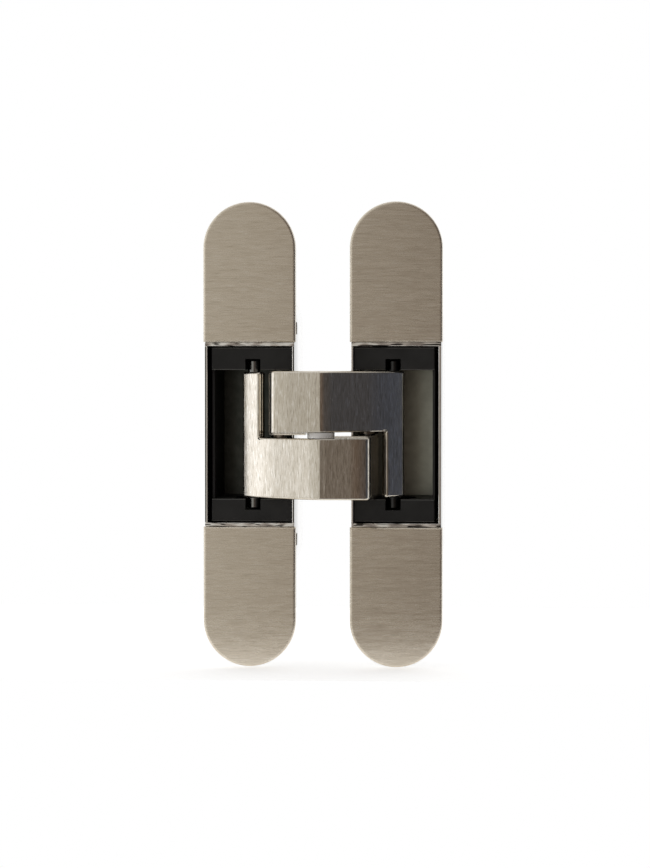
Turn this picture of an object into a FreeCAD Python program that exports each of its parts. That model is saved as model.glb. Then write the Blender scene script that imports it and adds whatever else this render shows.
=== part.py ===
import FreeCAD
import Part
import Sketcher

import math
import os

from FreeCAD import Placement, Rotation, Vector

# Concealed hinge for a flush door, open to 180 degrees, in millimetres.
# The two leaves lie side by side, and the viewer looks along +Y at their faces.
# X runs across the leaves, Y goes into the wood and Z goes up.
# The origin is the middle of the frame leaf's fixing holes, on the seat of its flange.
# Each leaf is drawn round its own centre, with Y as the depth behind its face and +X towards the arms.
# The arms are drawn round the mirror line between the leaves.

# Driving dimensions: alias, value and meaning
DIMENSIONS = (
    ("cap_width", 23.5, "width of a cap"),
    ("cap_overhang", 0.35, "cap past the housing, all round"),
    ("cap_thickness", 1.6, "thickness of a cap"),
    ("cap_edge_radius", 0.45, "rounding of a cap's rim"),
    ("peg_diameter", 1.6, "press pegs behind a cap"),
    ("peg_length", 2.8, "press pegs behind a cap"),
    ("peg_clearance", 0.03, "radial, peg to socket"),
    ("peg_end_gap", 0.2, "peg to the bottom of its socket"),
    ("inner_peg_inset", 1.95, "from the cap's side, pegs beside the clamp screw"),
    ("inner_peg_start", 6.1, "from the near end of the well, pegs beside the clamp screw"),
    ("outer_peg_inset", 3.75, "from the cap's side, pegs between the fixing holes"),
    ("flange_thickness", 5.0, "housing ends under the caps"),
    ("housing_depth", 27.0, "from the face to the back of the box"),
    ("end_length", 26.0, "from the far end of the well to the end of the cap"),
    ("box_end_wall", 6.0, "from the far end of the well to the round end of the box"),
    ("box_back_radius", 1.2, "rounding of the back of the box"),
    ("floor_thickness", 2.0, "floor of the pocket"),
    ("outer_wall", 0.65, "pocket wall away from the arms"),
    ("inner_wall", 0.5, "pocket wall beside the arms"),
    ("wall_setback", 0.4, "pocket walls behind the face"),
    ("lip_thickness", 0.9, "bar between the pocket and a cap"),
    ("lip_height", 2.9, "depth of that bar"),
    ("lip_gap", 0.1, "from that bar to the cap"),
    ("well_start_gap", 0.5, "from that bar's cap side to the well"),
    ("well_length", 9.1, "well for the clamp screw, under a cap"),
    ("well_side_wall", 2.9, "metal on each side of the well"),
    ("well_corner", 2.0, "corner radius of the well"),
    ("well_depth", 9.2, "depth of the well below the face"),
    ("side_slot_start", 1.6, "past the near end of the well, slot in the side beside the arms"),
    ("side_slot_length", 3.1, "slot in the side beside the arms, upwards"),
    ("side_slot_front", 3.0, "that slot behind the face"),
    ("side_slot_height", 6.0, "from the front to the back of that slot"),
    ("side_slot_depth", 1.2, "how far that slot goes into the side"),
    ("core_width", 4.2, "casting cores in the back of the box"),
    ("core_start_gap", 0.7, "near end of a core past the near end of the well"),
    ("core_end_gap", 1.0, "far end of a core short of the far end of the well"),
    ("core_floor", 3.8, "metal between a core and the well"),
    ("fixing_hole_diameter", 4.5, "clearance hole for a wood screw"),
    ("countersink_diameter", 8.4, "head of that screw"),
    ("inner_fixing_inset", 15.0, "from the end of the cap"),
    ("outer_fixing_inset", 6.0, "from the end of the cap"),
    ("carriage_side_gap", 0.1, "carriage to a side wall, at each end of its travel"),
    ("carriage_end_gap", 0.4, "carriage block to the bar"),
    ("carriage_back_gap", 0.2, "carriage to the pocket floor"),
    ("block_setback", 1.0, "front of a carriage block behind the face"),
    ("block_thickness", 5.7, "carriage block, upwards"),
    ("block_edge_radius", 0.3, "rounding of a block's front edges"),
    ("rail_thickness", 0.6, "rail that joins the two blocks"),
    ("rail_setback", 3.0, "front of the rail behind the face"),
    ("groove_depth", 2.8, "curved groove in a block"),
    ("groove_clearance", 0.45, "radial, slide pin to groove"),
    ("tongue_side_gap", 2.3, "carriage tongue to the side of the well"),
    ("tongue_front_gap", 0.7, "tongue behind the bar"),
    ("tongue_end_gap", 0.7, "tongue to the far end of the well"),
    ("tongue_gap", 0.3, "tongue to the passage's sides and the well's floor"),
    ("lateral_travel", 0.9, "carriage adjustment away from the arms"),
    ("clamp_screw_inset", 4.4, "from the near end of the well"),
    ("clamp_screw_diameter", 3.0, "shank of the clamp screw"),
    ("clamp_screw_length", 10.5, "shank of the clamp screw"),
    ("clamp_slot_clearance", 0.3, "radial, shank to the tongue's slot"),
    ("clamp_hole_clearance", 0.03, "radial, shank to its hole"),
    ("clamp_hole_end_gap", 1.8, "end of the shank to the bottom of its hole"),
    ("clamp_head_diameter", 5.6, "head of the clamp screw"),
    ("clamp_head_height", 1.9, "head of the clamp screw"),
    ("clamp_head_gap", 0.1, "head to tongue"),
    ("hex_socket", 2.0, "across flats, in the clamp screw"),
    ("hex_depth", 1.1, "depth of that socket"),
    ("pivot_inset", 3.15, "fixed pivot from the carriage's side"),
    ("pivot_offset", 11.0, "fixed pivot from the mirror line"),
    ("pivot_depth", 6.5, "fixed pivot behind the face"),
    ("slide_reach", 6.85, "slide pin beyond the fixed pivot, open"),
    ("slide_depth", 4.0, "slide pin behind the face, open"),
    ("centre_height", 5.0, "centre pin in front of the face, open"),
    ("closed_gap", 4.0, "between the faces of the closed leaves"),
    ("arm_height", 32.4, "over both arms"),
    ("arm_end_gap", 0.2, "arm to carriage block"),
    ("arm_thickness", 3.2, "slide side of an arm"),
    ("ridge_cover", 0.7, "ridge of an arm in front of its hub"),
    ("ridge_radius", 4.0, "rounding of the ridge"),
    ("shoulder_drop", 0.8, "far corner of an arm behind the ridge"),
    ("shoulder_radius", 1.4, "rounding of that corner"),
    ("flank_lean", 1.05, "how far the flank leans in at the corner"),
    ("flank_start", 0.5, "where the flank starts to lean, behind the face"),
    ("bridge_height", 1.8, "underside of an arm in front of the face, over the wall"),
    ("bridge_step", 0.4, "rise of the underside towards the hub"),
    ("bridge_slope", 1.2, "run of the slope from there to the pivot end"),
    ("bridge_drop", 0.9, "fall of that slope"),
    ("pivot_end_diameter", 5.6, "pivot end of an arm"),
    ("slide_barrel_diameter", 5.5, "slide end of an arm"),
    ("barrel_shortfall", 0.3, "slide barrel short of the other arm's edge"),
    ("barrel_corner_radius", 1.0, "rounding of the barrel's front corner beside the other arm"),
    ("barrel_edge_radius", 0.8, "rounding of the barrel's outer front corner"),
    ("hub_diameter", 6.6, "middle of an arm, round the centre pin"),
    ("arm_edge_radius", 0.7, "rounding of an arm's outer edges"),
    ("split_edge_radius", 0.5, "rounding of an arm's edges beside the other arm"),
    ("split_gap", 0.3, "between the pivot end and the other arm's half"),
    ("washer_diameter", 6.9, "washer between the arms"),
    ("washer_thickness", 1.4, "washer between the arms"),
    ("washer_gap", 0.05, "washer to an arm"),
    ("washer_rim_gap", 0.25, "washer to the step beside it"),
    ("pivot_pin_diameter", 4.0, "pin of a fixed pivot"),
    ("pivot_pin_inset", 0.3, "pin end below the block's outer face"),
    ("slide_pin_diameter", 3.0, "pin of a slide end"),
    ("slide_pin_end_gap", 0.3, "pin end to the groove's bottom"),
    ("centre_pin_diameter", 3.5, "pin where the arms cross"),
    ("centre_pin_inset", 0.3, "pin end below an arm's edge"),
    ("pin_chamfer", 0.3, "at each pin end"),
    ("pin_clearance", 0.04, "radial, pin to bore"),
)

doc = FreeCAD.newDocument("concealed_hinge")
sheet = doc.addObject("Spreadsheet::Sheet", "Sizes")
for row, (alias, value, meaning) in enumerate(DIMENSIONS, start=1):
    sheet.set(f"A{row}", meaning)
    sheet.set(f"B{row}", str(value))
    sheet.setAlias(f"B{row}", alias)
doc.recompute()


class Size:
    """A sheet cell, or a sum worked out from cells, as a number and as the expression for it."""

    def __init__(self, value, text):
        self.value = value
        self.text = text

    def __add__(self, other):
        other = as_size(other)
        return Size(self.value + other.value, f"({self.text} + {other.text})")

    def __sub__(self, other):
        other = as_size(other)
        return Size(self.value - other.value, f"({self.text} - {other.text})")

    def __mul__(self, other):
        other = as_size(other)
        return Size(self.value * other.value, f"({self.text} * {other.text})")

    def __truediv__(self, other):
        other = as_size(other)
        return Size(self.value / other.value, f"({self.text} / {other.text})")

    def __neg__(self):
        return Size(-self.value, f"(0 - {self.text})")


def as_size(number):
    if isinstance(number, Size):
        return number
    return Size(float(number), repr(float(number)))


def root(size):
    return Size(math.sqrt(size.value), f"sqrt({size.text})")


def cell(alias):
    return Size(float(getattr(sheet, alias)), f"Sizes.{alias}")


# Sketches

def origin_plane(body, role):
    for feature in body.Origin.OriginFeatures:
        if feature.Role == role:
            return feature
    raise RuntimeError(f"{body.Label} has no {role}")


def new_sketch(body, name, role, offset):
    sketch = body.newObject("Sketcher::SketchObject", f"{body.Label}_{name}")
    sketch.AttachmentSupport = [(origin_plane(body, role), "")]
    sketch.MapMode = "FlatFace"
    sketch.AttachmentOffset = Placement(Vector(0, 0, offset.value), Rotation())
    sketch.setExpression("AttachmentOffset.Base.z", offset.text)
    return sketch


def face_sketch(body, name, depth):
    """A sketch parallel to the leaf's face at a depth behind it: its axes are X and Z."""
    return new_sketch(body, name, "XZ_Plane", -as_size(depth))


def plan_sketch(body, name, height):
    """A sketch across the pivots at a height: its axes are X and Y."""
    return new_sketch(body, name, "XY_Plane", as_size(height))


def constrain(sketch, kind, *where, size=None):
    if size is None:
        return sketch.addConstraint(Sketcher.Constraint(kind, *where))
    size = as_size(size)
    number = sketch.addConstraint(Sketcher.Constraint(kind, *where, size.value))
    sketch.setExpression(f"Constraints[{number}]", size.text)
    return number


def place_point(sketch, edge, end, x, y):
    """Fixes one end (1 or 2) or the centre (3) of an edge at sizes from the sketch's origin."""
    for kind, axis, size in (("DistanceX", -2, x), ("DistanceY", -1, y)):
        if size is None:
            continue
        size = as_size(size)
        if size.value == 0.0:
            constrain(sketch, "PointOnObject", edge, end, axis)
        else:
            constrain(sketch, kind, -1, 1, edge, end, size=size)


def polygon(sketch, corners):
    corners = [(as_size(x), as_size(y)) for x, y in corners]
    points = [Vector(x.value, y.value, 0) for x, y in corners]
    edges = []
    for start, end in zip(points, points[1:] + points[:1]):
        edges.append(sketch.addGeometry(Part.LineSegment(start, end)))
    for edge, following in zip(edges, edges[1:] + edges[:1]):
        constrain(sketch, "Coincident", edge, 2, following, 1)
    for edge, (x, y) in zip(edges, corners):
        place_point(sketch, edge, 1, x, y)


def rectangle(sketch, left, right, low, high):
    polygon(sketch, [(left, low), (right, low), (right, high), (left, high)])


def circle(sketch, x, y, diameter):
    x = as_size(x)
    y = as_size(y)
    diameter = as_size(diameter)
    round_edge = Part.Circle(Vector(x.value, y.value, 0), Vector(0, 0, 1), diameter.value / 2)
    edge = sketch.addGeometry(round_edge)
    place_point(sketch, edge, 3, x, y)
    constrain(sketch, "Diameter", edge, size=diameter)


def arc_edge(sketch, x, y, radius, start_angle, end_angle):
    full = Part.Circle(Vector(x, y, 0), Vector(0, 0, 1), radius)
    return sketch.addGeometry(Part.ArcOfCircle(full, math.radians(start_angle), math.radians(end_angle)))


def line_edge(sketch, x1, y1, x2, y2):
    return sketch.addGeometry(Part.LineSegment(Vector(x1, y1, 0), Vector(x2, y2, 0)))


def stadium(sketch, middle, half_straight, radius):
    """A slot outline along the sketch's second axis, with round ends."""
    middle = as_size(middle)
    x = middle.value
    half = half_straight.value
    r = radius.value
    top = arc_edge(sketch, x, half, r, 0, 180)
    left = line_edge(sketch, x - r, half, x - r, -half)
    bottom = arc_edge(sketch, x, -half, r, 180, 360)
    right = line_edge(sketch, x + r, -half, x + r, half)
    for edge, following in ((top, left), (left, bottom), (bottom, right), (right, top)):
        constrain(sketch, "Tangent", edge, 2, following, 1)
    constrain(sketch, "Equal", top, bottom)
    place_point(sketch, top, 3, middle, half_straight)
    place_point(sketch, bottom, 3, middle, -half_straight)
    constrain(sketch, "Radius", top, size=radius)


def cross_slot(sketch, left_x, right_x, y, radius):
    """A slot outline along the sketch's first axis, with round ends."""
    x1 = left_x.value
    x2 = right_x.value
    r = radius.value
    right = arc_edge(sketch, x2, y.value, r, -90, 90)
    top = line_edge(sketch, x2, y.value + r, x1, y.value + r)
    left = arc_edge(sketch, x1, y.value, r, 90, 270)
    bottom = line_edge(sketch, x1, y.value - r, x2, y.value - r)
    for edge, following in ((right, top), (top, left), (left, bottom), (bottom, right)):
        constrain(sketch, "Tangent", edge, 2, following, 1)
    constrain(sketch, "Equal", left, right)
    place_point(sketch, right, 3, right_x, y)
    place_point(sketch, left, 3, left_x, y)
    constrain(sketch, "Radius", right, size=radius)


def cap_outline(sketch, straight_end, round_centre, radius, side):
    """Half a stadium: straight across near mid height and round at the far end."""
    r = radius.value
    near = straight_end.value
    far = round_centre.value
    if side > 0:
        end = arc_edge(sketch, 0, far, r, 0, 180)
        first = line_edge(sketch, -r, far, -r, near)
        base = line_edge(sketch, -r, near, r, near)
        last = line_edge(sketch, r, near, r, far)
    else:
        end = arc_edge(sketch, 0, far, r, 180, 360)
        first = line_edge(sketch, r, far, r, near)
        base = line_edge(sketch, r, near, -r, near)
        last = line_edge(sketch, -r, near, -r, far)
    constrain(sketch, "Tangent", end, 2, first, 1)
    constrain(sketch, "Coincident", first, 2, base, 1)
    constrain(sketch, "Coincident", base, 2, last, 1)
    constrain(sketch, "Tangent", last, 2, end, 1)
    constrain(sketch, "Vertical", first)
    constrain(sketch, "Vertical", last)
    constrain(sketch, "Horizontal", base)
    place_point(sketch, end, 3, 0, round_centre)
    place_point(sketch, base, 1, None, straight_end)
    constrain(sketch, "Radius", end, size=radius)


# Features

def new_body(name, placement):
    body = doc.addObject("PartDesign::Body", name)
    body.Label = name
    body.Placement = placement
    return body


def finish_feature(body, feature):
    doc.recompute()
    body.Tip = feature
    return feature


def pad(body, sketch, length, back=False):
    """Adds material: forward is out of the sketch's plane, towards the viewer or up."""
    feature = body.newObject("PartDesign::Pad", f"{sketch.Label}_pad")
    feature.Profile = sketch
    feature.Reversed = back
    feature.setExpression("Length", as_size(length).text)
    return finish_feature(body, feature)


def pocket(body, sketch, length, back=True):
    """Cuts material: back is into the leaf, or down."""
    before = body.Shape.Volume
    feature = body.newObject("PartDesign::Pocket", f"{sketch.Label}_pocket")
    feature.Profile = sketch
    feature.Reversed = not back
    feature.setExpression("Length", as_size(length).text)
    finish_feature(body, feature)
    if body.Shape.Volume >= before:
        raise RuntimeError(f"{feature.Label} cuts nothing")
    return feature


def turned(body, sketch):
    """A full turn of a half section about the sketch's second axis."""
    feature = body.newObject("PartDesign::Revolution", f"{sketch.Label}_turn")
    feature.Profile = sketch
    feature.ReferenceAxis = (sketch, ["V_Axis"])
    feature.Angle = 360
    return finish_feature(body, feature)


def fillet(body, radius, wanted):
    """Rounds the edges for which wanted(edge) is true."""
    base = body.Tip
    names = [f"Edge{n}" for n, edge in enumerate(base.Shape.Edges, start=1) if wanted(edge)]
    if not names:
        raise RuntimeError(f"{body.Label} has no such edge to round")
    feature = body.newObject("PartDesign::Fillet", f"{body.Label}_round")
    feature.Base = (base, names)
    feature.setExpression("Radius", as_size(radius).text)
    return finish_feature(body, feature)


def chamfer(body, size, wanted):
    """Bevels the edges for which wanted(edge) is true."""
    base = body.Tip
    names = [f"Edge{n}" for n, edge in enumerate(base.Shape.Edges, start=1) if wanted(edge)]
    if not names:
        raise RuntimeError(f"{body.Label} has no such edge to bevel")
    feature = body.newObject("PartDesign::Chamfer", f"{body.Label}_bevel")
    feature.Base = (base, names)
    feature.setExpression("Size", as_size(size).text)
    return finish_feature(body, feature)


# Nearness that counts as touching, and how far a cut starts outside the material
TOUCH = 1e-4
OVERCUT = 1.0


def in_plane(edge, axis, size):
    """True where all of an edge lies at one size along X, Y or Z (0, 1 or 2)."""
    box = edge.BoundBox
    low = (box.XMin, box.YMin, box.ZMin)[axis]
    high = (box.XMax, box.YMax, box.ZMax)[axis]
    return abs(low - size) < TOUCH and abs(high - size) < TOUCH


def is_round(edge, radius):
    return isinstance(edge.Curve, Part.Circle) and abs(edge.Curve.Radius - radius) < TOUCH


def deep_edge(edge, x, z):
    """True for a straight edge along Y at a place in the face."""
    return in_plane(edge, 0, x) and in_plane(edge, 2, z)


def upright(edge, x, y):
    """True for a straight edge along Z at a place in plan."""
    return in_plane(edge, 0, x) and in_plane(edge, 1, y)


# Sizes worked out from the driving dimensions

seat_depth = cell("cap_thickness") + cell("flange_thickness")

# From mid height outwards
block_inner = cell("arm_height") / 2 + cell("arm_end_gap")
block_outer = block_inner + cell("block_thickness")
lip_inner = block_outer + cell("carriage_end_gap")
lip_outer = lip_inner + cell("lip_thickness")
cap_straight_end = lip_outer + cell("lip_gap")
well_start = lip_outer + cell("well_start_gap")
well_end = well_start + cell("well_length")
tongue_end = well_end - cell("tongue_end_gap")
clamp_screw_place = well_start + cell("clamp_screw_inset")
leaf_end = well_end + cell("end_length")
inner_fixing_place = leaf_end - cell("inner_fixing_inset")
outer_fixing_place = leaf_end - cell("outer_fixing_inset")
inner_peg_place = well_start + cell("inner_peg_start")
outer_peg_place = (inner_fixing_place + outer_fixing_place) / 2

# Across a leaf, from its centre line
cap_radius = cell("cap_width") / 2
cap_round_centre = leaf_end - cap_radius
body_radius = cap_radius - cell("cap_overhang")
box_round_centre = well_end + cell("box_end_wall") - body_radius
pocket_left = cell("outer_wall") - body_radius
pocket_right = body_radius - cell("inner_wall")
block_left = pocket_left + cell("lateral_travel") + cell("carriage_side_gap")
block_right = pocket_right - cell("carriage_side_gap")
well_half = body_radius - cell("well_side_wall")
tongue_half = well_half - cell("tongue_side_gap")
pivot_x = block_right - cell("pivot_inset")
mirror_line = pivot_x + cell("pivot_offset")

# Behind the face
floor_depth = cell("housing_depth") - cell("floor_thickness")
block_back = floor_depth - cell("carriage_back_gap")
passage_front = cell("wall_setback") + cell("lip_height")
tongue_front = passage_front + cell("tongue_front_gap")
tongue_thickness = cell("well_depth") - cell("tongue_gap") - tongue_front
clamp_head_back = tongue_front - cell("clamp_head_gap")
clamp_screw_end = clamp_head_back + cell("clamp_screw_length")

# The arms and their pins
slide_offset = cell("pivot_offset") + cell("slide_reach")
ridge_height = cell("centre_height") + cell("hub_diameter") / 2 + cell("ridge_cover")
slide_pin_end = block_inner + cell("groove_depth") - cell("slide_pin_end_gap")
groove_radius = cell("slide_pin_diameter") / 2 + cell("groove_clearance")
pivot_radius = cell("pivot_end_diameter") / 2
barrel_radius = cell("slide_barrel_diameter") / 2
recess_height = cell("washer_thickness") / 2 + cell("washer_gap")


# How the arms move, in plan: x from the mirror line, y out of the face

class Turn:
    """A rotation in plan, kept as its cosine and sine."""

    def __init__(self, cosine, sine):
        self.cosine = cosine
        self.sine = sine

    def half(self):
        return Turn(math.sqrt((1 + self.cosine) / 2), math.sqrt((1 - self.cosine) / 2))

    def apply(self, x, y):
        return x * self.cosine - y * self.sine, x * self.sine + y * self.cosine


def slide_path():
    """The slide pin in the frame leaf, open, half closed and closed, in that leaf's own sketch axes."""
    pivot = (-cell("pivot_offset").value, -cell("pivot_depth").value)
    centre = (0.0, cell("centre_height").value)
    slide = (-slide_offset.value, -cell("slide_depth").value)
    link = (centre[0] - pivot[0], centre[1] - pivot[1])
    reach = (slide[0] - centre[0], slide[1] - centre[1])
    # Closed, the centre pin lies midway between the two faces.
    rise = cell("closed_gap").value / 2 - pivot[1]
    length = math.hypot(*link)
    closed_link = (-math.sqrt(length ** 2 - rise ** 2), rise)
    cosine = (link[0] * closed_link[0] + link[1] * closed_link[1]) / length ** 2
    sine = (link[0] * closed_link[1] - link[1] * closed_link[0]) / length ** 2
    whole = Turn(cosine, sine)
    places = [slide]
    # The arm that carries this pin turns through the rest of the leaf's own turn.
    for first, second in (
        (whole.half(), Turn(whole.half().sine, whole.half().cosine)),
        (whole, Turn(-whole.cosine, whole.sine)),
    ):
        x1, y1 = first.apply(*link)
        x2, y2 = second.apply(*reach)
        places.append((pivot[0] + x1 + x2, pivot[1] + y1 + y2))
    return [(mirror_line.value + x, -y) for x, y in places]


# Pieces of one leaf

def make_cap(name, placement, side):
    """A plain cover with pressed-in pegs, flush with the edge of the wood."""
    body = new_body(name, placement)
    plate = face_sketch(body, "plate", 0)
    cap_outline(plate, cap_straight_end * side, cap_round_centre * side, cap_radius, side)
    pad(body, plate, cell("cap_thickness"), back=True)
    fillet(body, cell("cap_edge_radius"), lambda edge: in_plane(edge, 1, 0.0))
    pegs = face_sketch(body, "pegs", cell("cap_thickness"))
    draw_pegs(pegs, side, cell("peg_diameter"))
    pad(body, pegs, cell("peg_length"), back=True)
    return body


def draw_pegs(sketch, side, diameter):
    for inset, place in (
        (cell("inner_peg_inset"), inner_peg_place),
        (cell("outer_peg_inset"), outer_peg_place),
    ):
        circle(sketch, cap_radius - inset, place * side, diameter)
        circle(sketch, inset - cap_radius, place * side, diameter)


def make_housing(name, placement):
    """The die-cast body: two shallow ends on the flange and a deep box between them."""
    body = new_body(name, placement)
    flange = face_sketch(body, "flange", cell("cap_thickness"))
    stadium(flange, 0, cap_round_centre, body_radius)
    pad(body, flange, cell("flange_thickness"), back=True)
    box = face_sketch(body, "box", cell("cap_thickness"))
    stadium(box, 0, box_round_centre, body_radius)
    pad(body, box, cell("housing_depth") - cell("cap_thickness"), back=True)
    walls = face_sketch(body, "walls", cell("wall_setback"))
    rectangle(walls, -body_radius, body_radius, -lip_outer, lip_outer)
    pad(body, walls, cell("flange_thickness"), back=True)
    back = cell("housing_depth").value
    fillet(body, cell("box_back_radius"), lambda edge: in_plane(edge, 1, back))

    opening = face_sketch(body, "pocket", cell("wall_setback"))
    rectangle(opening, pocket_left, pocket_right, -lip_inner, lip_inner)
    pocket(body, opening, floor_depth - cell("wall_setback"))
    for side, end in ((1, "top"), (-1, "bottom")):
        cut_clamp_well(body, side, end)
        cut_screw_holes(body, side, end)
        cut_side_slot(body, side, end)
    front = cell("cap_thickness").value
    rim_radius = cell("fixing_hole_diameter").value / 2
    chamfer(
        body,
        (cell("countersink_diameter") - cell("fixing_hole_diameter")) / 2,
        lambda edge: in_plane(edge, 1, front) and is_round(edge, rim_radius),
    )
    cores = face_sketch(body, "cores", cell("housing_depth"))
    core_start = well_start + cell("core_start_gap")
    core_end = well_end - cell("core_end_gap")
    for side in (1, -1):
        for left in (well_half - cell("core_width"), -well_half):
            rectangle(cores, left, left + cell("core_width"), core_start * side, core_end * side)
    core_height = cell("housing_depth") - cell("well_depth") - cell("core_floor")
    pocket(body, cores, core_height, back=False)
    return body


def cut_clamp_well(body, side, end):
    """The well under a cap, the passage for the carriage's tongue and the clamp screw's hole."""
    far = well_end * side
    well = face_sketch(body, f"{end}_well", cell("cap_thickness"))
    rectangle(well, -well_half, well_half, well_start * side, far)
    pocket(body, well, cell("well_depth") - cell("cap_thickness"))
    corner = (well_half.value, far.value)
    fillet(
        body,
        cell("well_corner"),
        lambda edge: deep_edge(edge, *corner) or deep_edge(edge, -corner[0], corner[1]),
    )
    passage = face_sketch(body, f"{end}_passage", passage_front)
    left = -tongue_half - cell("lateral_travel") - cell("tongue_gap")
    right = tongue_half + cell("tongue_gap")
    rectangle(passage, left, right, (lip_inner - OVERCUT) * side, (well_start + OVERCUT) * side)
    pocket(body, passage, cell("well_depth") - passage_front)
    thread = face_sketch(body, f"{end}_thread", cell("well_depth"))
    hole = cell("clamp_screw_diameter") + cell("clamp_hole_clearance") * 2
    circle(thread, 0, clamp_screw_place * side, hole)
    pocket(body, thread, clamp_screw_end + cell("clamp_hole_end_gap") - cell("well_depth"))


def cut_screw_holes(body, side, end):
    """Through holes for the wood screws and sockets for the cap's pegs."""
    holes = face_sketch(body, f"{end}_fixings", cell("cap_thickness"))
    circle(holes, 0, inner_fixing_place * side, cell("fixing_hole_diameter"))
    circle(holes, 0, outer_fixing_place * side, cell("fixing_hole_diameter"))
    pocket(body, holes, cell("flange_thickness"))
    sockets = face_sketch(body, f"{end}_sockets", cell("cap_thickness"))
    draw_pegs(sockets, side, cell("peg_diameter") + cell("peg_clearance") * 2)
    pocket(body, sockets, cell("peg_length") + cell("peg_end_gap"))


def cut_side_slot(body, side, end):
    """A shallow slot in the side beside the arms, level with the clamp screw."""
    slot = plan_sketch(body, f"{end}_side_slot", (well_start + cell("side_slot_start")) * side)
    rectangle(
        slot,
        body_radius - cell("side_slot_depth"),
        body_radius + OVERCUT,
        cell("side_slot_front"),
        cell("side_slot_front") + cell("side_slot_height"),
    )
    pocket(body, slot, cell("side_slot_length"), back=side < 0)


def make_carriage(name, placement):
    """Two blocks on a thin rail: they hold the pivot pin and guide the slide pin."""
    body = new_body(name, placement)
    rail = face_sketch(body, "rail", cell("rail_setback"))
    rectangle(rail, block_left, block_left + cell("rail_thickness"), -block_outer, block_outer)
    pad(body, rail, block_back - cell("rail_setback"), back=True)
    blocks = face_sketch(body, "blocks", cell("block_setback"))
    for side in (1, -1):
        rectangle(blocks, block_left, block_right, block_inner * side, block_outer * side)
    pad(body, blocks, block_back - cell("block_setback"), back=True)
    front = cell("block_setback").value
    fillet(body, cell("block_edge_radius"), lambda edge: in_plane(edge, 1, front))
    tongues = face_sketch(body, "tongues", tongue_front)
    for side in (1, -1):
        near = (block_outer - OVERCUT) * side
        rectangle(tongues, -tongue_half, tongue_half, near, tongue_end * side)
    pad(body, tongues, tongue_thickness, back=True)

    slots = face_sketch(body, "slots", tongue_front)
    slot_radius = cell("clamp_screw_diameter") / 2 + cell("clamp_slot_clearance")
    for side in (1, -1):
        cross_slot(slots, as_size(0), cell("lateral_travel"), clamp_screw_place * side, slot_radius)
    pocket(body, slots, tongue_thickness)
    bore = plan_sketch(body, "bore", block_outer)
    circle(bore, pivot_x, cell("pivot_depth"), cell("pivot_pin_diameter") + cell("pin_clearance") * 2)
    pocket(body, bore, block_outer * 2)
    for side, end in ((1, "top"), (-1, "bottom")):
        groove = plan_sketch(body, f"{end}_groove", block_inner * side)
        groove_outline(groove)
        pocket(body, groove, cell("groove_depth"), back=side < 0)
        notch = plan_sketch(body, f"{end}_notch", block_inner * side)
        slide_x = mirror_line - slide_offset
        rectangle(
            notch,
            slide_x - groove_radius,
            slide_x + groove_radius,
            cell("block_setback") - OVERCUT,
            cell("slide_depth"),
        )
        pocket(body, notch, cell("groove_depth"), back=side < 0)
    return body


def groove_outline(sketch):
    """A slot of even width along the arc through three places of the slide pin."""
    path = [Vector(x, y, 0) for x, y in slide_path()]
    middle = Part.Arc(*path).toShape().Curve.Center
    radius = (path[0] - middle).Length
    width = groove_radius.value
    spokes = [(place - middle).normalize() for place in path]
    outer = [middle + spoke * (radius + width) for spoke in spokes]
    inner = [middle + spoke * (radius - width) for spoke in spokes]
    turn = 1 if spokes[0].cross(spokes[1]).z > 0 else -1
    near_end = path[0] - Vector(-spokes[0].y, spokes[0].x, 0) * (width * turn)
    far_end = path[2] + Vector(-spokes[2].y, spokes[2].x, 0) * (width * turn)
    for edge in (
        Part.Arc(*outer),
        Part.Arc(outer[2], far_end, inner[2]),
        Part.Arc(*inner),
        Part.Arc(inner[0], near_end, outer[0]),
    ):
        constrain(sketch, "Block", sketch.addGeometry(edge))


def make_clamp_screw(name, placement, side):
    """A socket head screw that clamps the carriage's tongue in the well."""
    body = new_body(name, placement)
    head_front = clamp_head_back - cell("clamp_head_height")
    head_radius = cell("clamp_head_diameter") / 2
    shank_radius = cell("clamp_screw_diameter") / 2
    chamfer_size = cell("pin_chamfer")
    half_section = plan_sketch(body, "section", clamp_screw_place * side)
    polygon(half_section, [
        (0, head_front),
        (head_radius - chamfer_size, head_front),
        (head_radius, head_front + chamfer_size),
        (head_radius, clamp_head_back),
        (shank_radius, clamp_head_back),
        (shank_radius, clamp_screw_end - chamfer_size),
        (shank_radius - chamfer_size, clamp_screw_end),
        (0, clamp_screw_end),
    ])
    turned(body, half_section)
    socket = face_sketch(body, "socket", head_front)
    flat = cell("hex_socket") / 2
    corner = flat * 2 / math.sqrt(3)
    middle = clamp_screw_place * side
    polygon(socket, [
        (corner, middle),
        (corner / 2, middle + flat),
        (-corner / 2, middle + flat),
        (-corner, middle),
        (-corner / 2, middle - flat),
        (corner / 2, middle - flat),
    ])
    pocket(body, socket, cell("hex_depth"))
    return body


# Pins, sleeves and washers

def make_pin(name, placement, diameter, low, high):
    """A plain pin along Z with chamfered ends."""
    body = new_body(name, placement)
    radius = diameter / 2
    rim = radius - cell("pin_chamfer")
    section = face_sketch(body, "section", 0)
    polygon(section, [
        (0, low),
        (rim, low),
        (radius, low + cell("pin_chamfer")),
        (radius, high - cell("pin_chamfer")),
        (rim, high),
        (0, high),
    ])
    turned(body, section)
    return body


def make_ring(name, placement, outer, inner, low, high):
    """A sleeve or washer round the Z axis."""
    body = new_body(name, placement)
    section = plan_sketch(body, "section", low)
    circle(section, 0, 0, outer)
    circle(section, 0, 0, inner)
    pad(body, section, high - low)
    return body


# Arms

def slide_facet():
    """The sine and cosine of the slope from the ridge down to the slide barrel."""
    run = slide_offset
    fall = ridge_height + cell("slide_depth")
    length = root(run * run + fall * fall)
    tangent = root(length * length - barrel_radius * barrel_radius)
    sine = (fall * tangent - run * barrel_radius) / (length * length)
    cosine = (run * tangent + fall * barrel_radius) / (length * length)
    return sine, cosine


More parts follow.
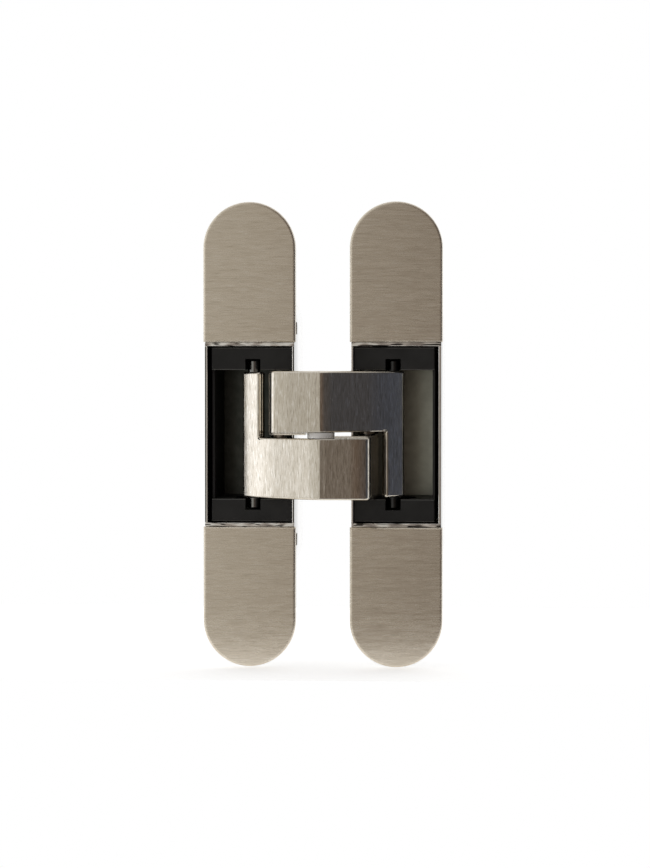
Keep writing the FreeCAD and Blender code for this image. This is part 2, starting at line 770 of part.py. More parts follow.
def make_arm(name, placement):
    """The upper arm: pivot end on the left, half the height; slide end on the right, full height."""
    body = new_body(name, placement)
    top = cell("arm_height") / 2
    sine, cosine = slide_facet()
    ridge = (as_size(0), -ridge_height)
    slope = sine / cosine
    outer_x = slide_offset + barrel_radius
    inner_x = slide_offset - barrel_radius
    outer_end = (outer_x, outer_x * slope - ridge_height)
    inner_end = (inner_x, inner_x * slope - ridge_height)
    inward_x = cell("arm_thickness") * sine
    inward_y = cell("arm_thickness") * cosine

    slide_side = plan_sketch(body, "slide_side", recess_height)
    polygon(slide_side, [
        ridge,
        outer_end,
        (outer_end[0] - inward_x, outer_end[1] + inward_y),
        (ridge[0] - inward_x, ridge[1] + inward_y),
    ])
    pad(body, slide_side, top - recess_height)
    hub = plan_sketch(body, "hub", recess_height)
    circle(hub, 0, -cell("centre_height"), cell("hub_diameter"))
    pad(body, hub, top - recess_height)
    barrel_low = cell("barrel_shortfall") - top
    barrel = plan_sketch(body, "barrel", barrel_low)
    circle(barrel, slide_offset, cell("slide_depth"), cell("slide_barrel_diameter"))
    pad(body, barrel, top - barrel_low)
    # The barrel is filled out in front, flush with the slope.
    barrel_front = plan_sketch(body, "barrel_front", barrel_low)
    polygon(barrel_front, [
        outer_end,
        (outer_x, cell("slide_depth")),
        (inner_x, cell("slide_depth")),
        inner_end,
    ])
    pad(body, barrel_front, top - barrel_low)

    pivot_left = -cell("pivot_offset") - pivot_radius
    pivot_right = -cell("pivot_offset") + pivot_radius
    shoulder = (pivot_left + cell("flank_lean"), cell("shoulder_drop") - ridge_height)
    hub_radius = cell("hub_diameter") / 2
    pivot_low = cell("split_gap") / 2
    pivot_side = plan_sketch(body, "pivot_side", pivot_low)
    polygon(pivot_side, [
        (pivot_left, cell("pivot_depth")),
        (pivot_left, cell("flank_start")),
        shoulder,
        ridge,
        (0, -cell("centre_height")),
        (-hub_radius / 2, -cell("bridge_height") - cell("bridge_step")),
        (pivot_right + cell("bridge_slope"), -cell("bridge_height")),
        (pivot_right, cell("bridge_drop") - cell("bridge_height")),
        (pivot_right, cell("pivot_depth")),
    ])
    pad(body, pivot_side, top - pivot_low)
    pivot_end = plan_sketch(body, "pivot_end", pivot_low)
    circle(pivot_end, -cell("pivot_offset"), cell("pivot_depth"), cell("pivot_end_diameter"))
    pad(body, pivot_end, top - pivot_low)

    step = plan_sketch(body, "washer_step", 0)
    step_left = -cell("washer_diameter") / 2 - cell("washer_rim_gap")
    rectangle(step, step_left, hub_radius, -ridge_height - OVERCUT, OVERCUT)
    pocket(body, step, recess_height, back=False)

    clearance = cell("pin_clearance") * 2
    for label, x, y, diameter in (
        ("centre_bore", 0, -cell("centre_height"), cell("centre_pin_diameter")),
        ("slide_bore", slide_offset, cell("slide_depth"), cell("slide_pin_diameter")),
        ("pivot_bore", -cell("pivot_offset"), cell("pivot_depth"), cell("pivot_pin_diameter")),
    ):
        bore = plan_sketch(body, label, top)
        circle(bore, x, y, diameter + clearance)
        pocket(body, bore, top * 2)
    for radius, corner in (
        ("ridge_radius", ridge),
        ("shoulder_radius", shoulder),
        ("barrel_corner_radius", inner_end),
        ("barrel_edge_radius", outer_end),
    ):
        place = (corner[0].value, corner[1].value)
        fillet(body, cell(radius), lambda edge, place=place: upright(edge, *place))
    round_arm_rims(body, (top.value, barrel_low.value), cell("arm_edge_radius"), step_left.value)
    round_arm_rims(body, (pivot_low.value,), cell("split_edge_radius"), step_left.value)
    round_arm_rims(body, (recess_height.value,), cell("split_edge_radius"), step_left.value)
    return body


def round_arm_rims(body, levels, radius, step_x):
    """Rounds the level edges of an arm's outline, but not its bores or the foot of the washer step."""
    bores = [
        cell(f"{pin}_diameter").value / 2 + cell("pin_clearance").value
        for pin in ("centre_pin", "slide_pin", "pivot_pin")
    ]

    def wanted(edge):
        if any(is_round(edge, bore) for bore in bores) or in_plane(edge, 0, step_x):
            return False
        return any(in_plane(edge, 2, level) for level in levels)

    fillet(body, radius, wanted)


# The whole hinge

def leaf_placements():
    """Both leaves have one shape: the door's is the frame's turned half round the view axis."""
    seat = -seat_depth.value
    frame = Placement(Vector(0, seat, 0), Rotation())
    door = Placement(Vector(mirror_line.value * 2, seat, 0), Rotation(Vector(0, 1, 0), 180))
    return (("frame", frame), ("door", door))


def arm_placements():
    seat = -seat_depth.value
    upper = Placement(Vector(mirror_line.value, seat, 0), Rotation())
    lower = Placement(Vector(mirror_line.value, seat, 0), Rotation(Vector(0, 1, 0), 180))
    return (("upper", upper), ("lower", lower))


def shifted(placement, x, y):
    return placement.multiply(Placement(Vector(x.value, y.value, 0), Rotation()))


def make_hinge():
    pieces = []
    top = cell("arm_height") / 2
    pivot_end = block_outer - cell("pivot_pin_inset")
    pivot_bore = cell("pivot_pin_diameter") + cell("pin_clearance") * 2
    for leaf, placement in leaf_placements():
        # Turned half round, the leaf's own top is at the bottom.
        ends = ("top", "bottom") if leaf == "frame" else ("bottom", "top")
        pieces.append(make_housing(f"{leaf}_housing", placement))
        pieces.append(make_carriage(f"{leaf}_carriage", placement))
        for side, end in ((1, ends[0]), (-1, ends[1])):
            pieces.append(make_cap(f"{leaf}_{end}_cap", placement, side))
            pieces.append(make_clamp_screw(f"{leaf}_{end}_clamp_screw", placement, side))
        pivot = shifted(placement, pivot_x, cell("pivot_depth"))
        pin = make_pin(f"{leaf}_pivot_pin", pivot, cell("pivot_pin_diameter"), -pivot_end, pivot_end)
        pieces.append(pin)
        sleeve = (cell("pivot_end_diameter"), pivot_bore, -top, -cell("split_gap") / 2)
        pieces.append(make_ring(f"{leaf}_pivot_sleeve", pivot, *sleeve))
    for arm, placement in arm_placements():
        pieces.append(make_arm(f"{arm}_arm", placement))
        slide = shifted(placement, slide_offset, cell("slide_depth"))
        pin = (cell("slide_pin_diameter"), -slide_pin_end, slide_pin_end)
        pieces.append(make_pin(f"{arm}_slide_pin", slide, *pin))
    centre = shifted(arm_placements()[0][1], as_size(0), -cell("centre_height"))
    centre_end = top - cell("centre_pin_inset")
    centre_pin = cell("centre_pin_diameter")
    pieces.append(make_pin("centre_pin", centre, centre_pin, -centre_end, centre_end))
    washer_bore = centre_pin + cell("pin_clearance") * 2
    half_washer = cell("washer_thickness") / 2
    washer = (cell("washer_diameter"), washer_bore, -half_washer, half_washer)
    pieces.append(make_ring("centre_washer", centre, *washer))
    return pieces


def check_document():
    for item in doc.Objects:
        if "Invalid" in item.State or "Error" in item.State:
            raise RuntimeError(f"{item.Label} failed: {item.State}")


def write_pieces(pieces):
    os.makedirs("parts", exist_ok=True)
    for piece in pieces:
        shape = piece.Shape
        if shape.isNull() or not shape.isValid() or len(shape.Solids) != 1:
            raise RuntimeError(f"{piece.Label} is not one valid solid")
        shape.exportStep(f"parts/{piece.Label}.step")
        print(f"{piece.Label}: {shape.Volume:.1f} mm3")


hinge_pieces = make_hinge()
doc.recompute()
check_document()
write_pieces(hinge_pieces)
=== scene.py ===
import math

import bpy
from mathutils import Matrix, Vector


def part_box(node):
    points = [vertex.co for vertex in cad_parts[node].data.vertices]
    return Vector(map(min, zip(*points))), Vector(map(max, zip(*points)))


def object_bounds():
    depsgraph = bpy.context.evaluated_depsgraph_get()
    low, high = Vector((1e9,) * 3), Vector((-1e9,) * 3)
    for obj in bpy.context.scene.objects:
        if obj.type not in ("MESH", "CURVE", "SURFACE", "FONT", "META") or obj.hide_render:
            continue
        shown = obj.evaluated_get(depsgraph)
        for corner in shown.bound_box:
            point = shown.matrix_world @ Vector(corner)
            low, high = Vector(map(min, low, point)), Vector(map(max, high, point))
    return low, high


# Looks of a concealed hinge, open to 180 degrees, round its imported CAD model. Everything is in metres.
# The viewer looks along +Y at the faces of the two leaves, X runs across them and Z goes up.

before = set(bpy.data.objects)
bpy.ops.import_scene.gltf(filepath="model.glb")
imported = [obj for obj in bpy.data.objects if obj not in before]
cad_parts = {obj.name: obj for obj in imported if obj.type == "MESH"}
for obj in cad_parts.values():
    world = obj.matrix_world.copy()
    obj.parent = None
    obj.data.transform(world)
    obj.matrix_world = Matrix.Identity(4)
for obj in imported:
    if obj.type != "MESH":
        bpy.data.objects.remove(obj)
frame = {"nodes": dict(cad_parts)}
cad_low, cad_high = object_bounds()

MM = 0.001


# Node materials

class Surface:
    """One node material that reads its place from the object's own coordinates."""

    def __init__(self, name, **sockets):
        self.material = bpy.data.materials.new(name)
        self.material.use_nodes = True
        self.tree = self.material.node_tree
        self.shader = self.tree.nodes["Principled BSDF"]
        for socket, value in sockets.items():
            self.shader.inputs[socket.replace("_", " ")].default_value = value
        self.place = self.node("ShaderNodeTexCoord").outputs["Object"]

    def node(self, kind, **settings):
        made = self.tree.nodes.new(kind)
        for name, value in settings.items():
            setattr(made, name, value)
        return made

    def join(self, source, target):
        self.tree.links.new(source, target)

    def feed(self, socket, value):
        """Gives a socket a number, or what another node puts out."""
        if isinstance(value, bpy.types.NodeSocket):
            self.join(value, socket)
        else:
            socket.default_value = value

    def noise(self, size, detail=2.0, roughness=0.5, distortion=0.0):
        """Noise whose features measure size = (x, y, z) in metres."""
        stretch = self.node("ShaderNodeMapping")
        stretch.inputs["Scale"].default_value = [1 / length for length in size]
        self.join(self.place, stretch.inputs["Vector"])
        noise = self.node("ShaderNodeTexNoise")
        noise.inputs["Scale"].default_value = 1.0
        noise.inputs["Detail"].default_value = detail
        noise.inputs["Roughness"].default_value = roughness
        noise.inputs["Distortion"].default_value = distortion
        self.join(stretch.outputs["Vector"], noise.inputs["Vector"])
        return noise.outputs["Fac"]

    def coordinate(self, axis):
        """Place along one axis in metres."""
        split = self.node("ShaderNodeSeparateXYZ")
        self.join(self.place, split.inputs[0])
        return split.outputs[axis]

    def facing(self, axis):
        """How far a face looks along one axis, from -1 to 1."""
        split = self.node("ShaderNodeSeparateXYZ")
        self.join(self.node("ShaderNodeTexCoord").outputs["Normal"], split.inputs[0])
        return split.outputs[axis]

    def crown(self, reach, start, radius, past=True):
        """Height of a face that falls off as a large cylinder would, past the start or else short of it."""
        beyond = self.maths("SUBTRACT", reach, start) if past else self.maths("SUBTRACT", start, reach)
        beyond = self.maths("MAXIMUM", beyond, 0.0)
        return self.maths("MULTIPLY", self.maths("MULTIPLY", beyond, beyond), -0.5 / radius)

    def spread(self, value, low, high, to_low=0.0, to_high=1.0):
        """Maps low..high to to_low..to_high and clamps."""
        ramp = self.node("ShaderNodeMapRange")
        self.feed(ramp.inputs["Value"], value)
        ramp.inputs["From Min"].default_value = low
        ramp.inputs["From Max"].default_value = high
        ramp.inputs["To Min"].default_value = to_low
        ramp.inputs["To Max"].default_value = to_high
        return ramp.outputs["Result"]

    def maths(self, operation, first, second):
        sum_node = self.node("ShaderNodeMath", operation=operation)
        self.feed(sum_node.inputs[0], first)
        self.feed(sum_node.inputs[1], second)
        return sum_node.outputs["Value"]

    def magnitude(self, value):
        return self.maths("ABSOLUTE", value, 0.0)

    def total(self, *heights):
        sum_so_far = heights[0]
        for height in heights[1:]:
            sum_so_far = self.maths("ADD", sum_so_far, height)
        return sum_so_far

    def overlap(self, *masks):
        """Where all the masks are 1."""
        product = masks[0]
        for mask in masks[1:]:
            product = self.maths("MULTIPLY", product, mask)
        return product

    def blend(self, factor, first, second):
        """Mixes two colours."""
        mix = self.node("ShaderNodeMix", data_type="RGBA")
        self.feed(mix.inputs[0], factor)
        self.feed(mix.inputs[6], first)
        self.feed(mix.inputs[7], second)
        return mix.outputs[2]

    def bump(self, height, distance, strength=1.0, below=None):
        """Relief of that height in metres, on top of another relief."""
        relief = self.node("ShaderNodeBump")
        relief.inputs["Strength"].default_value = strength
        relief.inputs["Distance"].default_value = distance
        self.join(height, relief.inputs["Height"])
        if below is not None:
            self.join(below, relief.inputs["Normal"])
        return relief.outputs["Normal"]

    def soft_edges(self, radius):
        """Normals as if each sharp edge were rounded by a small radius."""
        bevel = self.node("ShaderNodeBevel", samples=4)
        bevel.inputs["Radius"].default_value = radius
        return bevel.outputs["Normal"]

    def finish(self, colour=None, roughness=None, normal=None):
        for socket, value in (("Base Color", colour), ("Roughness", roughness), ("Normal", normal)):
            if value is not None:
                self.feed(self.shader.inputs[socket], value)
        return self.material


def tint(red, green, blue):
    return (red, green, blue, 1.0)


def along(axis, length, width):
    """Sizes of a brush mark that runs along one axis."""
    return [length if letter == axis else width for letter in "XYZ"]


def brushed_nickel(surface, axis, light, dark, marks, roughness, groove, strokes=0.0, below=None):
    """Satin plating with brush marks along one axis on the faces that this axis lies in."""
    flat = surface.spread(surface.magnitude(surface.facing(axis)), 0.8, 0.4)
    fine = surface.noise(along(axis, *marks), detail=2.0, distortion=0.4)
    broad = surface.noise(along(axis, marks[0] * 3, marks[1] * 4), detail=1.0)
    lines = surface.maths("ADD", surface.maths("MULTIPLY", fine, 0.7), surface.maths("MULTIPLY", broad, 0.3))
    lines = surface.maths("ADD", surface.maths("MULTIPLY", surface.maths("SUBTRACT", lines, 0.5), flat), 0.5)
    tone = surface.blend(surface.spread(lines, 0.34, 0.66), dark, light)
    if strokes:
        cuts = surface.noise(along(axis, marks[0] * 0.8, marks[1] * 0.8), detail=1.0, distortion=0.6)
        pale = surface.overlap(surface.spread(cuts, 0.58, 0.72), flat, strokes)
        deep = surface.overlap(surface.spread(cuts, 0.42, 0.28), flat, strokes)
        tone = surface.blend(deep, surface.blend(pale, tone, PALE_STROKE), DEEP_STROKE)
    relief = surface.bump(lines, groove, below=below)
    return surface.finish(tone, surface.spread(lines, 0.3, 0.7, roughness - 0.03, roughness + 0.03), relief)


PALE_STROKE = tint(0.97, 0.94, 0.88)
DEEP_STROKE = tint(0.40, 0.36, 0.285)


def cap_plating():
    """A cap: brushed across, so that its sheen spreads up and down."""
    surface = Surface("cap_nickel", Metallic=1.0, Anisotropic=0.7)
    tangent = surface.node("ShaderNodeTangent", direction_type="RADIAL", axis="X")
    surface.join(tangent.outputs["Tangent"], surface.shader.inputs["Tangent"])
    return brushed_nickel(
        surface, "X", tint(0.84, 0.765, 0.65), tint(0.725, 0.65, 0.54),
        marks=(4.0 * MM, 0.26 * MM), roughness=0.26, groove=0.006 * MM, strokes=0.28,
        below=surface.soft_edges(0.65 * MM),
    )


def arm_plating(name, side):
    """An arm: brushed upwards and slightly crowned towards its ends. Its slide end lies on that side."""
    surface = Surface(name, Metallic=1.0)
    reach = surface.maths("MULTIPLY", surface.maths("SUBTRACT", surface.coordinate("X"), MIRROR_LINE), side)
    slide_crown = surface.crown(reach, SLIDE_CROWN_START, SLIDE_CROWN_RADIUS)
    shoulder_reach = surface.maths("MULTIPLY", reach, -1.0)
    shoulder_crown = surface.crown(shoulder_reach, SHOULDER_CROWN_START, SHOULDER_CROWN_RADIUS)
    shoulder = surface.maths("MAXIMUM", shoulder_reach, 0.0)
    ridge_rise = surface.crown(shoulder, RIDGE_WIDTH, -RIDGE_RADIUS, past=False)
    slope = surface.maths("MAXIMUM", reach, 0.0)
    slope_fall = surface.crown(slope, SLOPE_WIDTH, SLOPE_RADIUS, past=False)
    end_roll = surface.crown(shoulder_reach, END_ROLL_START, END_ROLL_RADIUS)
    bar_height = surface.maths("MULTIPLY", surface.coordinate("Z"), -side)
    bar = surface.spread(bar_height, BAR_ROOT, BAR_ROOT + BAR_FILLET)
    bar_edge = surface.maths("MAXIMUM", reach, BAR_ROLL_START - BAR_ROLL_WIDTH)
    bar_roll = surface.overlap(surface.crown(bar_edge, BAR_ROLL_START, BAR_ROLL_RADIUS, past=False), bar)
    form = surface.total(slide_crown, shoulder_crown, ridge_rise, slope_fall, end_roll, bar_roll)
    form = surface.bump(form, 1.0)
    return brushed_nickel(
        surface, "Z", tint(0.77, 0.72, 0.635), tint(0.62, 0.565, 0.475),
        marks=(2.8 * MM, 0.32 * MM), roughness=0.21, groove=0.012 * MM, strokes=0.7, below=form,
    )


def housing_plating(name, leaf, rim_tone_and_shade, depths_light, depths_dark):
    """Bright plating on a casting: rippled at the two lips, and dull down in the pocket. Painted reflection and
    painted shade lie on top: dark patches on the lips, a dark-to-bright run along the sides, darker faces at the
    back, and in the frame's housing a dark pocket and a dark rim.
    """
    surface = Surface(name, Metallic=1.0)
    across = surface.magnitude(surface.maths("SUBTRACT", surface.coordinate("X"), leaf))
    height = surface.magnitude(surface.coordinate("Z"))
    depth = surface.coordinate("Y")
    inside = surface.overlap(
        surface.spread(across, POCKET_HALF_WIDTH, POCKET_HALF_WIDTH - FADE),
        surface.spread(height, POCKET_HALF_HEIGHT, POCKET_HALF_HEIGHT - FADE),
        surface.spread(depth, POCKET_FRONT, POCKET_FRONT + POCKET_SHADE),
        surface.spread(depth, POCKET_FLOOR + FADE, POCKET_FLOOR),
    )
    lip = surface.overlap(
        surface.spread(height, POCKET_HALF_HEIGHT, POCKET_HALF_HEIGHT + FADE),
        surface.spread(height, LIP_END + FADE, LIP_END),
        surface.spread(depth, LIP_BACK + FADE, LIP_BACK),
    )
    cloud = surface.noise((2.4 * MM,) * 3, detail=2.0)
    grain = surface.noise((0.15 * MM,) * 3, detail=2.0)
    dark_reflection_patches = surface.noise((5.0 * MM, 3.0 * MM, 0.45 * MM), detail=1.0, distortion=0.3)
    behind = surface.spread(surface.facing("Y"), 0.2, 0.5)
    side = surface.spread(surface.magnitude(surface.facing("X")), 0.8, 0.95)
    wall = surface.overlap(
        surface.spread(across, POCKET_HALF_WIDTH - FADE, POCKET_HALF_WIDTH),
        surface.spread(height, POCKET_HALF_HEIGHT, POCKET_HALF_HEIGHT - FADE),
        surface.spread(depth, POCKET_FRONT + POCKET_SHADE, POCKET_FRONT),
        surface.spread(surface.facing("Y"), -0.3, -0.6),
    )
    bright = surface.blend(surface.spread(cloud, 0.3, 0.7), tint(0.80, 0.78, 0.74), tint(0.90, 0.88, 0.85))
    # Painted shade: faces turned to the back get a darker tint than the front.
    painted_back_shade = surface.blend(surface.spread(cloud, 0.3, 0.7), tint(0.61, 0.60, 0.58), tint(0.70, 0.69, 0.67))
    bright = surface.blend(behind, bright, painted_back_shade)
    # Painted reflection: the side faces run from dark at the front to bright at the back.
    backward = surface.spread(depth, FLANK_DARK, FLANK_BRIGHT)
    painted_flank_reflection = surface.blend(backward, tint(0.42, 0.42, 0.40), tint(0.955, 0.95, 0.94))
    bright = surface.blend(side, bright, painted_flank_reflection)
    # Painted shade: in the frame's housing the front faces of the pocket walls are painted dark; the door's take
    # a plain plating tone.
    bright = surface.blend(wall, bright, rim_tone_and_shade)
    # Painted reflection: dark patches on the lips stand in for the dark surroundings that they mirror.
    dark_reflection_patches = surface.overlap(lip, surface.spread(dark_reflection_patches, 0.57, 0.61))
    bright = surface.blend(dark_reflection_patches, bright, tint(0.05, 0.045, 0.04))
    # Inside the pocket: a duller, rougher casting tone; the frame's far darker pocket is painted shade.
    pocket_tone_and_shade = surface.blend(surface.spread(cloud, 0.3, 0.7), depths_dark, depths_light)
    tone = surface.blend(inside, bright, pocket_tone_and_shade)
    polish = surface.spread(grain, 0.3, 0.7, 0.12, 0.18)
    roughness = surface.maths("ADD", polish, surface.maths("MULTIPLY", inside, 0.20))
    ripples = surface.overlap(surface.noise((4.2 * MM, 2.0 * MM, 1.4 * MM), detail=0.0), lip)
    relief = surface.bump(ripples, 0.32 * MM, below=surface.soft_edges(0.28 * MM))
    relief = surface.bump(cloud, 0.008 * MM, below=relief)
    return surface.finish(tone, roughness, relief)


def black_casting():
    """Matt black finish with a fine grain, and a painted highlight on its rounded edges."""
    surface = Surface("black_casting", Specular_IOR_Level=0.35)
    grain = surface.noise((0.12 * MM,) * 3, detail=3.0)
    cloud = surface.noise((4.0 * MM,) * 3, detail=1.0)
    shade = surface.spread(cloud, 0.3, 0.7)
    tone = surface.blend(shade, tint(0.014, 0.014, 0.014), tint(0.022, 0.022, 0.022))
    roughness = surface.spread(grain, 0.3, 0.7, 0.46, 0.60)
    tilt = surface.magnitude(surface.facing("Z"))
    # Painted highlight: the rounded edges, turned partly up or down, get a lighter tone.
    painted_edge_highlight = surface.maths("MULTIPLY", surface.spread(tilt, 0.25, 0.5), surface.spread(tilt, 0.98, 0.9))
    tone = surface.blend(painted_edge_highlight, tone, tint(0.11, 0.11, 0.105))
    roughness = surface.maths("SUBTRACT", roughness, surface.maths("MULTIPLY", painted_edge_highlight, 0.25))
    relief = surface.bump(grain, 0.01 * MM, below=surface.soft_edges(0.08 * MM))
    return surface.finish(tone, roughness, relief)


def turned_steel(name, dark, light, roughness):
    """A turned pin or sleeve with fine rings."""
    surface = Surface(name, Metallic=1.0)
    rings = surface.noise((2.0 * MM, 2.0 * MM, 0.07 * MM), detail=2.0)
    tone = surface.blend(rings, dark, light)
    relief = surface.bump(rings, 0.002 * MM, below=surface.soft_edges(0.08 * MM))
    return surface.finish(tone, surface.spread(rings, 0.3, 0.7, roughness - 0.05, roughness + 0.05), relief)


def screw_steel():
    """Dark screw with a fine grain."""
    surface = Surface("screw_steel", Metallic=1.0)
    grain = surface.noise((0.15 * MM,) * 3, detail=3.0)
    tone = surface.blend(grain, tint(0.06, 0.06, 0.065), tint(0.13, 0.13, 0.13))
    roughness = surface.spread(grain, 0.3, 0.7, 0.30, 0.45)
    relief = surface.bump(grain, 0.006 * MM, below=surface.soft_edges(0.08 * MM))
    return surface.finish(tone, roughness, relief)


def pale_washer():
    """A pale washer with a faint moulded grain."""
    surface = Surface("pale_washer", Roughness=0.35)
    grain = surface.noise((0.2 * MM,) * 3, detail=2.0)
    tone = surface.blend(grain, tint(0.86, 0.85, 0.84), tint(0.92, 0.91, 0.90))
    relief = surface.bump(grain, 0.004 * MM, below=surface.soft_edges(0.10 * MM))
    return surface.finish(tone, None, relief)


# The leaves stand side by side, and each arm is the other turned half round about the middle line.
FRAME_LEAF = (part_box("frame_housing")[0].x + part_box("frame_housing")[1].x) / 2
DOOR_LEAF = (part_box("door_housing")[0].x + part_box("door_housing")[1].x) / 2
MIRROR_LINE = (FRAME_LEAF + DOOR_LEAF) / 2
# Where an arm's two faces begin to round off, from the middle line, and how round they are there
SLIDE_CROWN_START = 11.5 * MM
SLIDE_CROWN_RADIUS = 45.0 * MM
SHOULDER_CROWN_START = 7.5 * MM
SHOULDER_CROWN_RADIUS = 15.0 * MM
# The ridge between them breaks sharply on the shoulder's side and curves gently into the slope.
RIDGE_WIDTH = 1.15 * MM
RIDGE_RADIUS = 4.0 * MM
SLOPE_WIDTH = 3.0 * MM
SLOPE_RADIUS = 16.0 * MM
# The shoulder's end rolls off, and so does the inner edge of the bar that carries the slide pin.
END_ROLL_START = 11.2 * MM
END_ROLL_RADIUS = 4.5 * MM
BAR_ROLL_START = 16.9 * MM
BAR_ROLL_WIDTH = 1.5 * MM
BAR_ROLL_RADIUS = 1.6 * MM
BAR_ROOT = -0.9 * MM
BAR_FILLET = 0.5 * MM

# A housing: its pocket from the leaf's middle, the lip between the pocket and a cap, and along Y where each ends
# and where the painted reflection on the sides turns from dark to bright
POCKET_HALF_WIDTH = 11.10 * MM
POCKET_HALF_HEIGHT = 22.35 * MM
POCKET_FRONT = -5.6 * MM
POCKET_SHADE = 0.6 * MM
POCKET_FLOOR = 18.5 * MM
LIP_END = 23.4 * MM
LIP_BACK = -4.0 * MM
FLANK_DARK = -2.0 * MM
FLANK_BRIGHT = 7.0 * MM
FADE = 0.05 * MM

MATERIALS = {
    "cap": cap_plating(),
    "upper_arm": arm_plating("upper_arm_nickel", 1.0),
    "lower_arm": arm_plating("lower_arm_nickel", -1.0),
    # The frame's housing gets painted shade: a dark pocket and a dark rim on the pocket walls.
    "frame_housing": housing_plating(
        "frame_plating_painted_shade", FRAME_LEAF, tint(0.13, 0.135, 0.12), tint(0.13, 0.14, 0.13), tint(0.09, 0.10, 0.09),
    ),
    "door_housing": housing_plating(
        "door_plating", DOOR_LEAF, tint(0.86, 0.83, 0.78), tint(0.60, 0.625, 0.55), tint(0.51, 0.53, 0.465),
    ),
    "carriage": black_casting(),
    # The two slide pins are the same steel: the lower one is painted light and the upper one painted shade.
    "lower_slide_pin": turned_steel("painted_lit_pin_steel", tint(0.22, 0.22, 0.21), tint(0.34, 0.34, 0.33), 0.24),
    "upper_slide_pin": turned_steel("painted_shade_pin_steel", tint(0.04, 0.04, 0.04), tint(0.07, 0.07, 0.07), 0.30),
    "pin": turned_steel("pin_steel", tint(0.12, 0.12, 0.12), tint(0.20, 0.20, 0.19), 0.24),
    "sleeve": turned_steel("sleeve_steel", tint(0.20, 0.17, 0.14), tint(0.34, 0.30, 0.26), 0.24),
    "screw": screw_steel(),
    "washer": pale_washer(),
}


def dress(nodes):
    """Gives each CAD node its own material, or else the one that its name ends with."""
    for name, node in nodes.items():
        material = MATERIALS.get(name) or MATERIALS[name.split("_")[-1]]
        node.data.materials.clear()
        node.data.materials.append(material)


# The studio

WHITE = tint(1.0, 1.0, 1.0)
# Light from in front by direction: place across from left (-1) to right (1), and colour
FRONT_LIGHT = (
    (-1.00, tint(1.50, 1.52, 1.58)),
    (-0.93, tint(1.38, 1.39, 1.42)),
    (-0.88, tint(0.73, 0.72, 0.69)),
    (-0.22, tint(0.61, 0.59, 0.55)),
    (-0.13, tint(0.57, 0.56, 0.52)),
    (-0.075, tint(0.34, 0.285, 0.24)),
    (-0.03, tint(0.17, 0.15, 0.135)),
    (0.25, tint(0.155, 0.115, 0.09)),
    (0.50, tint(0.11, 0.092, 0.085)),
    (0.76, tint(0.070, 0.067, 0.069)),
    (0.88, tint(0.058, 0.064, 0.085)),
    (1.00, tint(0.08, 0.09, 0.12)),
)
OVERHEAD_LIGHT = tint(0.75, 0.75, 0.75)
LOW_LIGHT = tint(0.45, 0.45, 0.45)


def studio_world():
    """Soft light that is bright on the left and dark on the right, and white behind the object."""
    world = bpy.data.worlds.new("studio")
    world.use_nodes = True
    tree = world.node_tree
    background = tree.nodes["Background"]
    nodes = tree.nodes
    join = tree.links.new
    direction = nodes.new("ShaderNodeTexCoord").outputs["Generated"]
    split = nodes.new("ShaderNodeSeparateXYZ")
    join(direction, split.inputs[0])

    def spread(value, low, high, kind="SMOOTHSTEP"):
        ramp = nodes.new("ShaderNodeMapRange")
        ramp.interpolation_type = kind
        join(value, ramp.inputs["Value"])
        ramp.inputs["From Min"].default_value = low
        ramp.inputs["From Max"].default_value = high
        return ramp.outputs["Result"]

    def blend(factor, first, second):
        mix = nodes.new("ShaderNodeMix")
        mix.data_type = "RGBA"
        join(factor, mix.inputs[0])
        for socket, value in ((mix.inputs[6], first), (mix.inputs[7], second)):
            if isinstance(value, bpy.types.NodeSocket):
                join(value, socket)
            else:
                socket.default_value = value
        return mix.outputs[2]

    def maths(operation, first, second=None):
        node = nodes.new("ShaderNodeMath")
        node.operation = operation
        join(first, node.inputs[0])
        if second is not None:
            join(second, node.inputs[1])
        return node.outputs["Value"]

    front = nodes.new("ShaderNodeValToRGB")
    join(spread(split.outputs["X"], -1.0, 1.0, "LINEAR"), front.inputs["Fac"])
    ramp = front.color_ramp
    while len(ramp.elements) < len(FRONT_LIGHT):
        ramp.elements.new(0.5)
    for element, (across, colour) in zip(ramp.elements, FRONT_LIGHT):
        element.position = (across + 1) / 2
        element.color = colour
    light = blend(spread(split.outputs["Z"], 0.55, 0.95), front.outputs["Color"], OVERHEAD_LIGHT)
    light = blend(spread(split.outputs["Z"], -0.55, -0.95), light, LOW_LIGHT)
    behind = spread(split.outputs["Y"], -0.05, 0.25)
    light = blend(behind, light, WHITE)
    path = nodes.new("ShaderNodeLightPath")
    seen_through = maths("MAXIMUM", path.outputs["Is Glossy Ray"], path.outputs["Is Transmission Ray"])
    white = maths("MAXIMUM", path.outputs["Is Camera Ray"], maths("MULTIPLY", seen_through, behind))
    join(blend(white, light, WHITE), background.inputs["Color"])
    bpy.context.scene.world = world


FLOOR_DROP = 0.5 * MM
FLOOR_SIDE = 150 * MM
FLOOR_FRONT = 18 * MM
FLOOR_BACK = 150 * MM


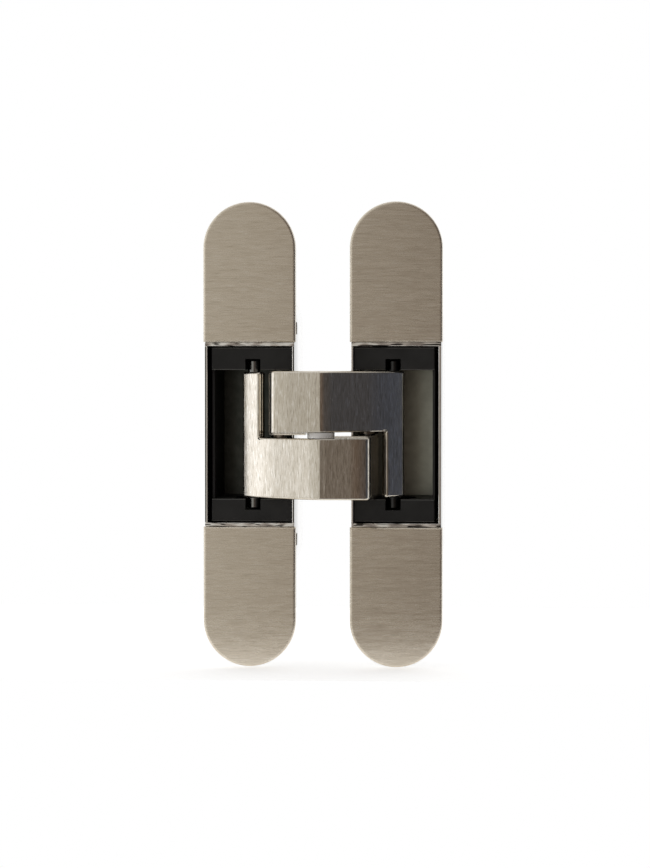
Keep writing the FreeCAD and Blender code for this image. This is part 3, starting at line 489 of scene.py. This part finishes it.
def pale_floor():
    """A pale sheet under the object that keeps its shadow."""
    level = cad_low.z - FLOOR_DROP
    left, right = cad_low.x - FLOOR_SIDE, cad_high.x + FLOOR_SIDE
    front, back = cad_low.y - FLOOR_FRONT, cad_high.y + FLOOR_BACK
    corners = [(left, front, level), (right, front, level), (right, back, level), (left, back, level)]
    mesh = bpy.data.meshes.new("floor")
    mesh.from_pydata(corners, [], [(0, 1, 2, 3)])
    floor = bpy.data.objects.new("floor", mesh)
    bpy.context.scene.collection.objects.link(floor)
    surface = Surface("pale_floor", Base_Color=tint(0.80, 0.80, 0.80), Roughness=1.0, Specular_IOR_Level=0.0)
    surface.shader.inputs["Emission Color"].default_value = WHITE
    path = surface.node("ShaderNodeLightPath")
    seen = surface.maths("MAXIMUM", path.outputs["Is Camera Ray"], path.outputs["Is Glossy Ray"])
    seen = surface.maths("MAXIMUM", seen, path.outputs["Is Transmission Ray"])
    surface.feed(surface.shader.inputs["Emission Strength"], surface.maths("MULTIPLY", seen, 0.5))
    mesh.materials.append(surface.material)


# The photograph's view: millimetre of the part at the middle of the picture, distance and angle
VIEW_TARGET = Vector((19.28, -6.6, 0.19)) * MM
VIEW_DISTANCE = 750 * MM
VIEW_AZIMUTH = 4.5
VIEW_ELEVATION = 1.7
FOCAL_LENGTH = 122.7
SENSOR = 36.0


def photo_camera():
    azimuth = math.radians(VIEW_AZIMUTH)
    elevation = math.radians(VIEW_ELEVATION)
    back = Vector((
        math.sin(azimuth) * math.cos(elevation),
        -math.cos(azimuth) * math.cos(elevation),
        math.sin(elevation),
    ))
    data = bpy.data.cameras.new("camera")
    data.lens = FOCAL_LENGTH
    data.sensor_width = SENSOR
    data.clip_start = 1 * MM
    camera = bpy.data.objects.new("camera", data)
    camera.location = VIEW_TARGET + back * VIEW_DISTANCE
    camera.rotation_euler = (-back).to_track_quat("-Z", "Y").to_euler()
    bpy.context.scene.collection.objects.link(camera)
    bpy.context.scene.camera = camera


dress(frame["nodes"])
studio_world()
pale_floor()
photo_camera()
bpy.context.scene.view_settings.view_transform = "Standard"
